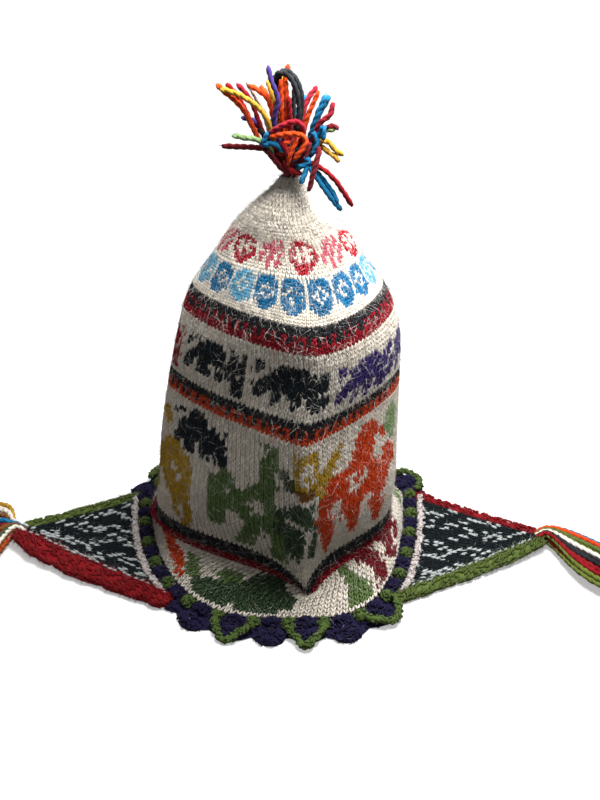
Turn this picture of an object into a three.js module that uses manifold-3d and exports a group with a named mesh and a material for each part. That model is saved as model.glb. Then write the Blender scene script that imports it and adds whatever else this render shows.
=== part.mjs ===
// Knitted chullo hat, standing on its crocheted rim with both earflaps spread out on the table.
// Millimetres, +Z up, the front faces -Y, and the origin is on the table under the middle of the whole.
import * as THREE from 'three';
import { mergeVertices } from 'three/addons/utils/BufferGeometryUtils.js';
import Module from 'manifold-3d';

const wasm = await Module();
wasm.setup();

// Sizes shared by several pieces
const GAP = 0.4;
const MERGE = 1e-4;
const WALL = 3;
const FLAP_BASE = 104;
const FLAP_MID_Y = -5;
const FLAP_TIP_X = 182;
const FLAP_TIP_Y = { left: 2, right: -5 };

// Crown: one knitted wall, a row for each level from the rim up to the neck.
// half is the half width, front and back are the reach from the widest line at midY, tip is how far the
// front crease sits to the right, crease and side are the powers of the front curve (2 is an ellipse, less
// is a corner), splay widens the back against the front, and droop lets the corner sag.
const COLUMNS = ['z', 'midX', 'midY', 'half', 'front', 'back', 'tip', 'crease', 'side', 'splay', 'droop'];
const LEVELS = [
  [3, -2.2, 38, 89.2, 113.8, 39, 8.9, 3.5, 2.3, 0.14, 0],
  [12, -2, 23, 84, 88.5, 53, 14, 1.9, 2.3, 0.09, 4],
  [20, -6, 11, 81, 72, 62, 28, 0.85, 2.2, 0.04, 16],
  [27, -3.5, 6, 78, 67, 64, 21, 0.95, 2.1, 0.02, 19],
  [38, -3.5, 3, 77.4, 64, 66, 20, 0.98, 2.1, 0, 22.5],
  [60, -1, 0, 76.2, 69.5, 68, 17, 1.07, 1.85, 0, 12.5],
  [90, 0.5, 0, 74.2, 72, 67, 16, 1.16, 1.48, 0, 5.5],
  [125, 3.5, 0, 70.5, 70, 65, 12.5, 1.12, 1.38, 0, 1],
  [160, 6.8, 0, 65.6, 65, 62, 14.5, 1.28, 1.5, 0, 0],
  [185, 6.7, 0, 57.7, 61, 56, 13, 1.48, 1.36, 0, 0],
  [205, 6.3, -1, 43.6, 43.5, 44, 11.5, 1.42, 1.65, 0, 0],
  [222, 7.2, -2, 33.3, 26.5, 33, 6, 1.55, 1.6, 0, 0],
  [236, 3.5, -3, 17.5, 17, 19, 4, 2, 2, 0, 0],
  [247, 6.8, -4, 9, 8.5, 8.5, 0, 2, 2, 0, 0],
  [255, 8.5, -4, 4.5, 4.5, 4.5, 0, 2, 2, 0, 0],
];
const NECK = LEVELS.length - 1;
const CEILING = NECK - 2;
const BACK_POWER = 2.2;
const DROOP_POWER = 12;
const AROUND = 48;
const OUTER_RINGS = 2;

// Rim edging: blocks of crochet in pairs, one row beside the earflaps and two rows elsewhere
const EDGING = { blocks: 52, stations: 3, firstRow: 10.5, secondRow: 7.5, scallop: 5, height: 6.2, bump: 0.2 };
const EDGE_PROFILE = [
  { at: 0.94, twoRows: 0.62, oneRow: 0.62 },
  { at: 0.78, twoRows: 0.92, oneRow: 0.92 },
  { at: 0.56, twoRows: 0.72, oneRow: 1.0 },
  { at: 0.28, twoRows: 1.0, oneRow: 0.95 },
];
const EDGE_INNER_HEIGHT = 4;
const EDGE_OUTER_HEIGHT = 2;

// Earflaps: knitted panel, chain seam along the base and a border along each slanted edge
const SEAM = { radius: 2.1, sides: 8, steps: 18, inset: 5 };
const PANEL = { thick: 3.6, lift: 5, tipBack: 6, endShare: 0.95, rows: 7, across: 10 };
const BORDER = { sides: 8, steps: 12, taper: 0.35, endShare: 0.98 };
const BORDERS = [
  { name: 'red_edge_left', side: -1, edge: -1, wide: 13, tall: 7.5, color: '#a31226' },
  { name: 'green_edge_left', side: -1, edge: 1, wide: 8, tall: 5, color: '#6d8a4a' },
  { name: 'green_edge_right', side: 1, edge: -1, wide: 9, tall: 6, color: '#6d8a4a' },
  { name: 'red_edge_right', side: 1, edge: 1, wide: 8, tall: 5, color: '#a31226' },
];

// Tie tassels: yarn ends bound at the flap tips, fanned out on the table over an arch near the tip
const TIES = [
  {
    name: 'tie_tassel_left',
    side: -1,
    reach: 267.8,
    end: { y: -8, spread: 44 },
    arch: { at: 0.16, y: -4, spread: 29 },
  },
  {
    name: 'tie_tassel_right',
    side: 1,
    reach: 266.8,
    end: { y: -66, spread: 22 },
    arch: { at: 0.2, y: -22, spread: 15 },
  },
];
const TIE = { locks: 9, radius: 3.6, rise: 7, round: 0.08, sides: 6, steps: 4 };
const TIE_HEAD = { x: 6, y: 7.5, z: 5.6 };
const TIE_SETTLE = 0.7;
const END_SHARE = 0.7;

// Top tassel: locks of yarn ends from a knot on the neck, a row for each lock's end from the knot
const TOP = { radius: 2.6, head: 8.5, headTall: 7.5, sides: 6, steps: 3, bow: 5, bowAt: 0.5 };
const TOP_ENDS = [
  { x: -37, y: -6, z: 37 },
  { x: -30, y: 2, z: 39 },
  { x: -21, y: 8, z: 38 },
  { x: -12, y: 0, z: 45 },
  { x: -2, y: -6, z: 43 },
  { x: 4, y: 8, z: 40 },
  { x: 14, y: 2, z: 34 },
  { x: 20, y: -4, z: 31 },
  { x: 26, y: 4, z: 16 },
  { x: 29, y: -8, z: 0 },
  { x: 33, y: -12, z: -26 },
  { x: 11, y: -14, z: -15 },
  { x: -30, y: -8, z: 14 },
  { x: -36, y: 0, z: 6 },
  { x: -16, y: 24, z: 30 },
  { x: 8, y: 28, z: 24 },
  { x: 24, y: 20, z: 8 },
  { x: -14, y: 26, z: 2 },
];

// Turns a geometry into a closed one: shared corners merged, flat triangles dropped, faces outwards.
function closed(geometry) {
  geometry.deleteAttribute('normal');
  geometry.deleteAttribute('uv');
  const merged = mergeVertices(geometry, MERGE);
  const old = merged.index.array;
  const kept = [];
  for (let i = 0; i < old.length; i += 3) {
    const [a, b, c] = [old[i], old[i + 1], old[i + 2]];
    if (a !== b && b !== c && c !== a) kept.push(a, b, c);
  }
  merged.setIndex(volume(merged, kept) < 0 ? kept.reverse() : kept);
  return merged;
}

function volume(geometry, index) {
  const corner = (i) => new THREE.Vector3().fromBufferAttribute(geometry.attributes.position, index[i]);
  let total = 0;
  for (let i = 0; i < index.length; i += 3) {
    total += corner(i).dot(corner(i + 1).cross(corner(i + 2)));
  }
  return total;
}

// A skin through rings of equal count: capped at both ends, or running round on itself.
function loft(rings, isLoop = false) {
  const count = rings[0].length;
  const points = rings.flat();
  const index = [];
  const last = isLoop ? rings.length : rings.length - 1;
  for (let i = 0; i < last; i++) {
    const here = i * count;
    const next = ((i + 1) % rings.length) * count;
    for (let j = 0; j < count; j++) {
      const k = (j + 1) % count;
      index.push(here + j, next + j, next + k, here + j, next + k, here + k);
    }
  }
  const cap = (start, turn) => {
    for (let j = 0; j < count / 2 - 1; j++) {
      const [a, b, c, d] = [j, j + 1, count - 2 - j, count - 1 - j].map((k) => start + k);
      const pairs = [[b, c], [c, d]];
      for (const pair of pairs) index.push(a, pair[turn], pair[1 - turn]);
    }
  };
  if (!isLoop) {
    cap(0, 0);
    cap((rings.length - 1) * count, 1);
  }
  const geometry = new THREE.BufferGeometry().setFromPoints(points);
  geometry.setIndex(index);
  return closed(geometry);
}

function toSolid(geometry) {
  const vertProperties = new Float32Array(geometry.attributes.position.array);
  const triVerts = new Uint32Array(geometry.index.array);
  return new wasm.Manifold(new wasm.Mesh({ numProp: 3, vertProperties, triVerts }));
}

function fuse(geometries) {
  const whole = geometries.map(toSolid).reduce((sum, piece) => sum.add(piece));
  const mesh = whole.getMesh();
  const geometry = new THREE.BufferGeometry();
  geometry.setAttribute('position', new THREE.BufferAttribute(mesh.vertProperties, 3));
  geometry.setIndex(new THREE.BufferAttribute(mesh.triVerts, 1));
  return geometry;
}

function piece(name, geometry, color, roughness = 0.95) {
  geometry.computeVertexNormals();
  const material = new THREE.MeshStandardMaterial({ color, roughness, metalness: 0 });
  const mesh = new THREE.Mesh(geometry, material);
  mesh.name = name;
  return mesh;
}

const range = (count) => Array.from({ length: count }, (unused, i) => i);
const signedPower = (value, power) => Math.sign(value) * Math.abs(value) ** power;

// Values of all columns at level t, by a smooth curve through the rows of the table.
function levelAt(t) {
  const i = Math.min(Math.floor(t), NECK - 1);
  const f = t - i;
  const rows = [i - 1, i, i + 1, i + 2].map((k) => LEVELS[THREE.MathUtils.clamp(k, 0, NECK)]);
  const smooth = (a, b, c, d) =>
    b + 0.5 * f * (c - a + f * (2 * a - 5 * b + 4 * c - d + f * (3 * (b - c) + d - a)));
  return Object.fromEntries(COLUMNS.map((name, k) => [name, smooth(...rows.map((row) => row[k]))]));
}

// Point on the outside of the crown; turn 0 is the front crease and a quarter turn is the right side.
function wallPoint(t, turn) {
  const row = levelAt(t);
  const c = Math.cos(turn * 2 * Math.PI);
  const s = Math.sin(turn * 2 * Math.PI);
  const ahead = Math.max(c, 0);
  const acrossPower = 2 / (c > 0 ? row.crease : BACK_POWER);
  const alongPower = 2 / (c > 0 ? row.side : BACK_POWER);
  const across = row.half * signedPower(s, acrossPower) * (1 - row.splay * c);
  const along = signedPower(c, alongPower) * (c > 0 ? row.front : row.back);
  return new THREE.Vector3(
    row.midX + across + row.tip * ahead ** 2,
    row.midY - along,
    row.z - row.droop * ahead ** DROOP_POWER,
  );
}

// Point on the inside, a wall's thickness away in the upright plane through this turn.
function innerPoint(t, turn) {
  const step = 0.01;
  const angle = turn * 2 * Math.PI;
  const ray = new THREE.Vector3(Math.sin(angle), -Math.cos(angle), 0);
  const up = wallPoint(Math.min(t + step, NECK), turn).sub(wallPoint(Math.max(t - step, 0), turn));
  const outwards = ray.clone().multiplyScalar(up.z).setZ(-up.dot(ray)).normalize();
  return wallPoint(t, turn).addScaledVector(outwards, -WALL);
}

function crown() {
  const turns = range(AROUND).map((i) => i / AROUND);
  const outer = range(NECK * OUTER_RINGS + 1).map((i) => i / OUTER_RINGS);
  const inner = range(CEILING + 1);
  const rings = [
    ...outer.reverse().map((t) => turns.map((turn) => wallPoint(t, turn))),
    ...inner.map((t) => turns.map((turn) => innerPoint(t, turn))),
  ];
  return loft(rings);
}

// Plan line of the knit edge, which the edging, seams and flaps follow
const RIM_SAMPLES = 240;
const rimPoints = range(RIM_SAMPLES).map((i) => wallPoint(0, i / RIM_SAMPLES));
const rimLine = new THREE.CatmullRomCurve3(rimPoints, true);

function rimOffset(u, offset) {
  const place = rimLine.getPointAt(u % 1);
  const tangent = rimLine.getTangentAt(u % 1);
  return new THREE.Vector3(place.x + tangent.y * offset, place.y - tangent.x * offset, 0);
}

// 1 beside an earflap, 0 along the front and the back
function besideFlap(u) {
  const fromMiddle = Math.abs(rimOffset(u, EDGING.firstRow).y - FLAP_MID_Y);
  return 1 - THREE.MathUtils.smoothstep(fromMiddle, FLAP_BASE / 2, FLAP_BASE / 2 + EDGING.firstRow / 2);
}

function edgingRing(u) {
  const flap = besideFlap(u);
  const block = Math.abs(Math.sin(u * EDGING.blocks * Math.PI));
  const shell = Math.abs(Math.sin((u * EDGING.blocks * Math.PI) / 2));
  const width = EDGING.firstRow + (1 - flap) * (EDGING.secondRow + EDGING.scallop * shell);
  const tall = EDGING.height * (1 - EDGING.bump + EDGING.bump * block);
  const top = EDGE_PROFILE.map((row) => ({
    offset: row.at * width,
    z: tall * THREE.MathUtils.lerp(row.twoRows, row.oneRow, flap),
  }));
  const outline = [
    { offset: GAP, z: 0 },
    { offset: width * EDGE_PROFILE[0].at, z: 0 },
    { offset: width, z: EDGE_OUTER_HEIGHT },
    ...top,
    { offset: GAP, z: EDGE_INNER_HEIGHT },
  ];
  return outline.map((p) => rimOffset(u, p.offset).setZ(p.z));
}

function rimEdging() {
  const count = EDGING.blocks * EDGING.stations;
  return loft(range(count).map((i) => edgingRing(i / count)), true);
}

// Points along the rim beside one flap, from front to back, at an offset from the knit edge
function flapLine(side, offset, inset, count) {
  const half = FLAP_BASE / 2 - inset;
  const points = range(RIM_SAMPLES)
    .map((i) => rimOffset(i / RIM_SAMPLES, offset))
    .filter((p) => Math.sign(p.x) === side && Math.abs(p.y - FLAP_MID_Y) <= half)
    .sort((p, q) => p.y - q.y);
  const line = new THREE.CatmullRomCurve3(points);
  return line.getSpacedPoints(count - 1);
}

function circleShape(radius, sides) {
  const corners = range(sides).map((i) => (i / sides) * 2 * Math.PI);
  return new THREE.Shape(
    corners.map((a) => new THREE.Vector2(radius * Math.cos(a), radius * Math.sin(a))),
  );
}

function flapSeam(side) {
  const offset = EDGING.firstRow + GAP + SEAM.radius;
  const points = flapLine(side, offset, SEAM.inset, SEAM.steps / 2).map((p) => p.setZ(SEAM.radius));
  const extrudePath = new THREE.CatmullRomCurve3(points);
  const shape = circleShape(SEAM.radius, SEAM.sides);
  return closed(new THREE.ExtrudeGeometry(shape, { extrudePath, steps: SEAM.steps, bevelEnabled: false }));
}

const panelOffset = EDGING.firstRow + 2 * GAP + 2 * SEAM.radius;
const tipY = (side) => (side < 0 ? FLAP_TIP_Y.left : FLAP_TIP_Y.right);
const panelTip = (side) => new THREE.Vector3(side * (FLAP_TIP_X - PANEL.tipBack), tipY(side), 0);

function panelBase(side, count) {
  const widest = Math.max(...BORDERS.map((border) => border.wide));
  return flapLine(side, panelOffset, widest / 2, count);
}

const lifted = (share) => PANEL.lift * share ** 2;

function earflap(side) {
  const base = panelBase(side, PANEL.across);
  const rings = range(PANEL.rows).map((i) => {
    const share = (PANEL.endShare * i) / (PANEL.rows - 1);
    const row = base.map((p) => p.clone().lerp(panelTip(side), share).setZ(lifted(share)));
    const over = row.map((p) => p.clone().setZ(p.z + PANEL.thick)).reverse();
    return [...row, ...over];
  });
  return loft(rings);
}

function flapBorder({ side, edge, wide, tall }) {
  const base = panelBase(side, PANEL.across);
  const start = edge < 0 ? base[0] : base[base.length - 1];
  const along = panelTip(side).sub(start);
  const outwards = new THREE.Vector3(-along.y, along.x, 0).normalize();
  if (outwards.y * edge < 0) outwards.negate();
  const rings = range(BORDER.steps + 1).map((i) => {
    const share = (i / BORDER.steps) * BORDER.endShare;
    const half = (wide / 2) * (1 - BORDER.taper * share);
    const rise = (tall / 2) * (1 - BORDER.taper * share);
    const middle = start.clone().addScaledVector(along, share).addScaledVector(outwards, half + GAP);
    return range(BORDER.sides).map((j) => {
      const turn = ((j + 0.5) / BORDER.sides) * 2 * Math.PI;
      const height = rise * (1 + Math.sin(turn)) + lifted(share);
      return middle.clone().addScaledVector(outwards, half * Math.cos(turn)).setZ(height);
    });
  });
  return loft(rings);
}

// A lock of yarn along a curve, thickest in the middle, kept above the table
function lock(curve, radius, sides, steps) {
  const frames = curve.computeFrenetFrames(steps, false);
  const rings = range(steps + 1).map((i) => {
    const share = i / steps;
    const middle = curve.getPointAt(share);
    const thick = radius * (END_SHARE + (1 - END_SHARE) * Math.sin(Math.PI * share));
    return range(sides).map((j) => {
      const turn = (j / sides) * 2 * Math.PI;
      const p = middle
        .clone()
        .addScaledVector(frames.normals[i], thick * Math.cos(turn))
        .addScaledVector(frames.binormals[i], thick * Math.sin(turn));
      return p.setZ(Math.max(p.z, 0));
    });
  });
  return loft(rings);
}

function knot(center, radiusX, radiusY, radiusZ) {
  const geometry = new THREE.SphereGeometry(1, 10, 6);
  geometry.scale(radiusX, radiusY, radiusZ);
  geometry.translate(center.x, center.y, center.z);
  return closed(geometry);
}

function tieTassel(tie) {
  const { side, reach } = tie;
  const headX = FLAP_TIP_X - PANEL.tipBack + TIE_HEAD.x;
  const head = new THREE.Vector3(side * headX, tipY(side), TIE_HEAD.z + lifted(1) / 2);
  const floorZ = TIE.radius * END_SHARE;
  const run = reach - headX;
  const locks = range(TIE.locks).map((i) => {
    const fan = (2 * i) / (TIE.locks - 1) - 1;
    const end = new THREE.Vector3(side * reach, tie.end.y + tie.end.spread * fan, floorZ);
    end.x -= side * run * TIE.round * fan ** 2;
    const arch = head.clone().lerp(end, tie.arch.at);
    arch.y = tie.arch.y + tie.arch.spread * fan;
    arch.z = head.z + TIE.rise * (1 - fan ** 2 / 2);
    const settle = arch.clone().lerp(end, TIE_SETTLE).setZ(TIE.radius);
    const curve = new THREE.CatmullRomCurve3([head, arch, settle, end]);
    return lock(curve, TIE.radius, TIE.sides, TIE.steps);
  });
  return fuse([knot(head, TIE_HEAD.x, TIE_HEAD.y, TIE_HEAD.z), ...locks]);
}

function topTassel() {
  const neck = levelAt(NECK);
  const head = new THREE.Vector3(neck.midX, neck.midY, neck.z + GAP + TOP.headTall);
  const locks = TOP_ENDS.map(({ x, y, z }) => {
    const end = head.clone().add(new THREE.Vector3(x, y, z));
    const bend = head.clone().lerp(end, TOP.bowAt);
    bend.z += TOP.bow;
    return lock(new THREE.CatmullRomCurve3([head, bend, end]), TOP.radius, TOP.sides, TOP.steps);
  });
  return fuse([knot(head, TOP.head, TOP.head, TOP.headTall), ...locks]);
}

const chullo = new THREE.Group();
chullo.add(piece('crown', crown(), '#ddd8ce'));
chullo.add(piece('rim_edging', rimEdging(), '#2a2748'));
for (const [side, word] of [[-1, 'left'], [1, 'right']]) {
  chullo.add(piece(`flap_seam_${word}`, flapSeam(side), '#d7d2d0'));
  chullo.add(piece(`earflap_${word}`, earflap(side), '#1d3036'));
}
for (const border of BORDERS) chullo.add(piece(border.name, flapBorder(border), border.color));
for (const tie of TIES) chullo.add(piece(tie.name, tieTassel(tie), '#8c3324'));
chullo.add(piece('top_tassel', topTassel(), '#b4481f'));

export default chullo;
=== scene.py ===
"""Knitted chullo hat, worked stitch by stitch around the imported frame.

Sizes are in millimetres and become metres when a mesh is made. The crown's table of levels, the rim line,
the flaps and the tassels repeat the forms of the solids that they stand for.
"""
import math
from types import SimpleNamespace as Named

import bpy
import numpy as np
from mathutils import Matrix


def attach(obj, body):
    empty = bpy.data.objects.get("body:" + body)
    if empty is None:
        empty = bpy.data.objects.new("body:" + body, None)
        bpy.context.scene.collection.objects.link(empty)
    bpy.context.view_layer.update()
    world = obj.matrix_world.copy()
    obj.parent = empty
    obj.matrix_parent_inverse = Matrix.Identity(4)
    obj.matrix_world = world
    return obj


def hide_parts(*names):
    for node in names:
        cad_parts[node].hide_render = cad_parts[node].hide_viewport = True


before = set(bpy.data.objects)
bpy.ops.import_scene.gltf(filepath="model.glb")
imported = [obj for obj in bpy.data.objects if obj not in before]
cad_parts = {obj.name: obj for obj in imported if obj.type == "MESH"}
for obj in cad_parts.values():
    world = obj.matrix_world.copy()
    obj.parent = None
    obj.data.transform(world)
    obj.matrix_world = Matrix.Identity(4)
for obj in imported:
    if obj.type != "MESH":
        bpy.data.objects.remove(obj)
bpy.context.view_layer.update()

MM = 0.001
rng = np.random.default_rng(11)

# Camera at the photograph's angle, for a 600 by 800 image
CAMERA_PLACE = (13.6, -478, 400)
CAMERA_PITCH = 31.05
IMAGE_HEIGHT = 800
FOCAL_PIXELS = 898
SENSOR_HEIGHT = 24
CLIP_START = 0.01


def table_rows(text):
    """The first word of each line of a table, with the numbers after it."""
    for line in text.strip().splitlines():
        word, *numbers = line.split()
        yield word, np.array(numbers, float)


# Yarn colours, as sRGB values from 0 to 255
YARNS = dict(table_rows("""
cream 233 224 210
chain_white 198 188 184
flower_red 172 10 40
flower_pink 200 84 104
blue 16 110 156
light_blue 92 164 196
charcoal 32 34 38
band_red 150 8 30
ink 18 29 35
purple 58 40 108
orange 212 68 12
mustard 188 148 32
brown 122 74 28
green 100 124 70
dark_green 58 80 51
pale_green 140 168 112
maroon 112 20 30
navy 18 11 52
edge_green 74 94 40
teal 7 19 24
grey_white 176 182 181
flap_red 134 5 16
flap_green 86 102 44
yellow 186 142 44
crimson 136 10 30
olive 104 116 44
fuzz 238 233 224
"""))
YARN_NAMES = list(YARNS)
YARN_INDEX = {name: i for i, name in enumerate(YARN_NAMES)}

# Crown levels from the rim up to the neck, the same table as the solid's
COLUMNS = "z midX midY half front back tip crease side splay droop".split()
LEVELS = np.array("""
3 -2.2 38 89.2 113.8 39 8.9 3.5 2.3 0.14 0
12 -2 23 84 88.5 53 14 1.9 2.3 0.09 4
20 -6 11 81 72 62 28 0.85 2.2 0.04 16
27 -3.5 6 78 67 64 21 0.95 2.1 0.02 19
38 -3.5 3 77.4 64 66 20 0.98 2.1 0 22.5
60 -1 0 76.2 69.5 68 17 1.07 1.85 0 12.5
90 0.5 0 74.2 72 67 16 1.16 1.48 0 5.5
125 3.5 0 70.5 70 65 12.5 1.12 1.38 0 1
160 6.8 0 65.6 65 62 14.5 1.28 1.5 0 0
185 6.7 0 57.7 61 56 13 1.48 1.36 0 0
205 6.3 -1 43.6 43.5 44 11.5 1.42 1.65 0 0
222 7.2 -2 33.3 26.5 33 6 1.55 1.6 0 0
236 3.5 -3 17.5 17 19 4 2 2 0 0
247 6.8 -4 9 8.5 8.5 0 2 2 0 0
255 8.5 -4 4.5 4.5 4.5 0 2 2 0 0
""".split(), float).reshape(-1, len(COLUMNS))
NECK = len(LEVELS) - 1
CEILING = NECK - 2
BACK_POWER = 2.2
DROOP_POWER = 12
WALL = 3
SHELL_DEPTH = 1.0
FINE_TURNS = 720

# Knitting charts, top row first; a row ends at its last stitch
CAT = """
.##..#####..#..#
##.########.##.#
#..########.####
..##############
.###############
###.###..##.##.#
###.####.##.####
##..####.##..###
.............###
..............##
""".split()
CROUCHING_CAT = """
##...######
##.#########.##
#..############
..#############
.##############
##############
###.##.###.####
##..##..##.####
....#...#...###
""".split()
SMALL_CAT = """
......###
..##.#####
##...#####.#..#
...##########.#
..#############
..#############
..#############
.######.#######
.##.###.###.###
.#..###..##.###
""".split()
LLAMA_LEFT = """
............###
............###
............###
............###
...........####
...........###
...........###
...........####
...........####
...##.....####
..####...#####
######..######
##############
####.#####..##
#########...###
##########..####
#########.######
################
####...#########
####....###.####
####....###..###
####...####..###
.##....###...###
......####...###
......####..####
.....####...####
.....###....###
""".split()
LLAMA_RIGHT = """
...........####
..........######
.........#######
.........#########
........#######.##
........#######..#
.......#######
..############
.#############...###
.######..##.###..####
#######.###.####.#####
#######.##..##########
#######....###########
###..###.#############
###..###############
###..##############
####.######..######
####..####...#####
.###..####..####
.###...###..####
.###...###...####
..##...###...####
..##....##....###
..##....##....###
...#.....#....###
...#...........##
""".split()
GRAZING_LLAMA = """
....##
....###
....###
.....#
.
.
......####
.....#######
.....########
...##########
..############
..######.#####
.#######..####
##########.###
##########.###
####.#########
###...########
###....#######
####....######
####.....#####
###......##.##
##.......##.##
##.......##.##
#.........#.##
...........##
...........##
""".split()
FOAL = """
....####
..######
.#######
########
##....###
.#####.##
######..#
######..#
######.##
..####.##
..####.##
..###..##
...##...#
""".split()
EAR = """
##
###
.##
.##
""".split()
GATE = """
#####
#####
##..#
#...#
#.#.#
#...#
##.##
""".split()
GATE_FOOT = """
####
.###
""".split()
SLASH = """
.....##
....##
...###
..###
.####
####
####
###
.#
""".split()
SHRUB = """
..##
.####
.####
#####
#####
.####
..###
..##
""".split()
BAR = """
####
.####
..#####
...######
....######
.....######
.......####
.........###
..........##
""".split()
POST = ("#####",) * 8
TWIG = """
##
.###
..###
..####
...###
""".split()
TUFT = """
####
#####
.####
""".split()
HILL = """
........#####
........######
........########
........#########
......############
..################
##################
##################
.#######.#######
""".split()
STALK = """
##
##
.##
.###
..###
..####
..####
..#####
..#####
""".split()
CLAW = """
####
.####
..####
...###
....###
....####
....####
.....###
.....###
""".split()
WING = """
#########
.#######
..####..##
...###.####
..####.####
...###..###
....###
.....###
......##
""".split()
KID = """
..##......#
.####....###
.#####..####
..##########
..##########
..###.##.###
..##..##..##
..#...#...#
""".split()
FLOWER = """
..###
.#####
##.#.##
#..#..#
##...##
#..#..#
##.#.##
.#####
.####
..##
""".split()
LEAVES = """
....#.#
...##.#
..##.##
.##.##
.#.##.#
##.#.##
#.##.#
#.#.##
..#.#
..#
""".split()
DIAMOND = """
.#####
#######
###.###
##.#.##
#.###.#
##.#.##
###.###
#######
.#####
..###
""".split()

# Stitches: each V has two legs, placed in its cell by shares of the cell's width and height
STITCH_LEGS = (
    Named(low=(0.47, -0.5), high=(0.14, 1.12)),
    Named(low=(0.53, -0.5), high=(0.86, 1.12)),
)
LEG = Named(side=0.27, out=0.65, lift=0.3, sink=0.75)
SOFT_LEG = Named(side=LEG.side, out=LEG.out, lift=0.18, sink=0.12)
SOFT_BANDS = ("cone", "peak")
RAGGED = 0.05
LEG_JITTER = 0.04
SPINDLE_SIDES = 3
SPINDLE_TURN = 0.25
SPINDLE_RINGS = (0.3, 0.72)
UP = np.array([0.0, 0, 1])
ASIDE = np.array([1.0, 0, 0])


def unit(vectors):
    return vectors / np.linalg.norm(vectors, axis=-1, keepdims=True)


def signed_power(value, power):
    return np.sign(value) * np.abs(value) ** power


def linear(srgb):
    """A colour from 0 to 255 as the linear values that a shader takes, by the sRGB formula."""
    shares = srgb / 255
    return np.where(shares <= 0.04045, shares / 12.92, ((shares + 0.055) / 1.055) ** 2.4)


# Wool material: socket values of its shader, its mottled colour and its fibres
WOOL = {"Roughness": 0.95, "Specular IOR Level": 0.06, "Sheen Weight": 0.04, "Sheen Roughness": 0.6}
MOTTLE = {"Scale": 260, "Detail": 5, "Roughness": 0.7}
MOTTLE_SHADES = (Named(at=0.28, times=0.66, plus=0), Named(at=0.72, times=1.18, plus=0.012))
FIBRE = {"Scale": 2600, "Detail": 3}
FIBRE_BUMP = {"Strength": 0.55, "Distance": 0.25 * MM}


def set_inputs(node, values):
    for socket, value in values.items():
        node.inputs[socket].default_value = value


def yarn_material(name, srgb):
    """Wool: mottled colour, soft sheen and a fine fibre bump."""
    material = bpy.data.materials.new(f"yarn_{name}")
    material.use_nodes = True
    nodes = material.node_tree.nodes
    links = material.node_tree.links
    shader = nodes["Principled BSDF"]
    place = nodes.new("ShaderNodeTexCoord")
    mottle = nodes.new("ShaderNodeTexNoise")
    ramp = nodes.new("ShaderNodeValToRGB")
    fibre = nodes.new("ShaderNodeTexNoise")
    bump = nodes.new("ShaderNodeBump")
    for node, values in ((shader, WOOL), (mottle, MOTTLE), (fibre, FIBRE), (bump, FIBRE_BUMP)):
        set_inputs(node, values)
    for stop, shade in zip(ramp.color_ramp.elements, MOTTLE_SHADES):
        stop.position = shade.at
        stop.color = (*np.minimum(linear(srgb) * shade.times + shade.plus, 1), 1)
    links.new(place.outputs["Object"], mottle.inputs["Vector"])
    links.new(place.outputs["Object"], fibre.inputs["Vector"])
    links.new(mottle.outputs["Fac"], ramp.inputs["Fac"])
    links.new(ramp.outputs["Color"], shader.inputs["Base Color"])
    links.new(fibre.outputs["Fac"], bump.inputs["Height"])
    links.new(bump.outputs["Normal"], shader.inputs["Normal"])
    return material


MATERIALS = {name: yarn_material(name, srgb) for name, srgb in YARNS.items()}


class Work:
    """Closed meshes gathered for one piece, with a yarn for each face and roots for its fuzz."""

    def __init__(self):
        self.points, self.faces, self.yarns = [], [], []
        self.roots, self.outs, self.tints = [], [], []
        self.count = 0

    def add(self, points, faces, yarns):
        self.points.append(points)
        self.faces.append(np.asarray(faces) + self.count)
        self.yarns.append(np.broadcast_to(yarns, len(faces)))
        self.count += len(points)

    def grow(self, roots, outs, tints):
        """Places where hairs may stand, with the way out and the yarn there."""
        self.roots.append(roots)
        self.outs.append(outs)
        self.tints.append(np.broadcast_to(tints, len(roots)))

    def piece(self, name, slot, node=None):
        """The gathered meshes as one object on the root body, kept above the floor."""
        points = np.concatenate(self.points) * MM
        points[:, 2] = np.maximum(points[:, 2], 0)
        faces = np.concatenate(self.faces)
        yarns = np.concatenate(self.yarns)
        mesh = bpy.data.meshes.new(name)
        mesh.vertices.add(len(points))
        mesh.vertices.foreach_set("co", points.ravel())
        mesh.loops.add(faces.size)
        mesh.loops.foreach_set("vertex_index", faces.ravel())
        mesh.polygons.add(len(faces))
        mesh.polygons.foreach_set("loop_start", np.arange(0, faces.size, faces.shape[1]))
        used = np.unique(yarns)
        for index in used:
            mesh.materials.append(MATERIALS[YARN_NAMES[index]])
        mesh.polygons.foreach_set("material_index", np.searchsorted(used, yarns))
        mesh.polygons.foreach_set("use_smooth", np.ones(len(faces), bool))
        mesh.update(calc_edges=True)
        obj = bpy.data.objects.new(name, mesh)
        bpy.context.collection.objects.link(obj)
        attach(obj, "root")
        if node:
            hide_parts(node)
        return obj


# Closed forms made in bulk

def grid_faces(rows, columns):
    """Triangles of a grid of points, in rows of equal count that run round on themselves."""
    row, column = np.meshgrid(np.arange(rows - 1), np.arange(columns), indexing="ij")
    after = (column + 1) % columns
    a, b = row * columns + column, row * columns + after
    c, d = a + columns, b + columns
    return np.stack([np.stack([a, b, d], -1), np.stack([a, d, c], -1)], -2).reshape(-1, 3)


def skin_faces(rows, columns):
    """Triangles of a closed skin: its grid, then a fan to the middle point of each end."""
    around = np.arange(columns)
    after = (around + 1) % columns
    middle = np.full(columns, rows * columns)
    end = (rows - 1) * columns
    return np.concatenate([
        grid_faces(rows, columns),
        np.stack([middle, after, around], 1),
        np.stack([middle + 1, end + around, end + after], 1),
    ])


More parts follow.
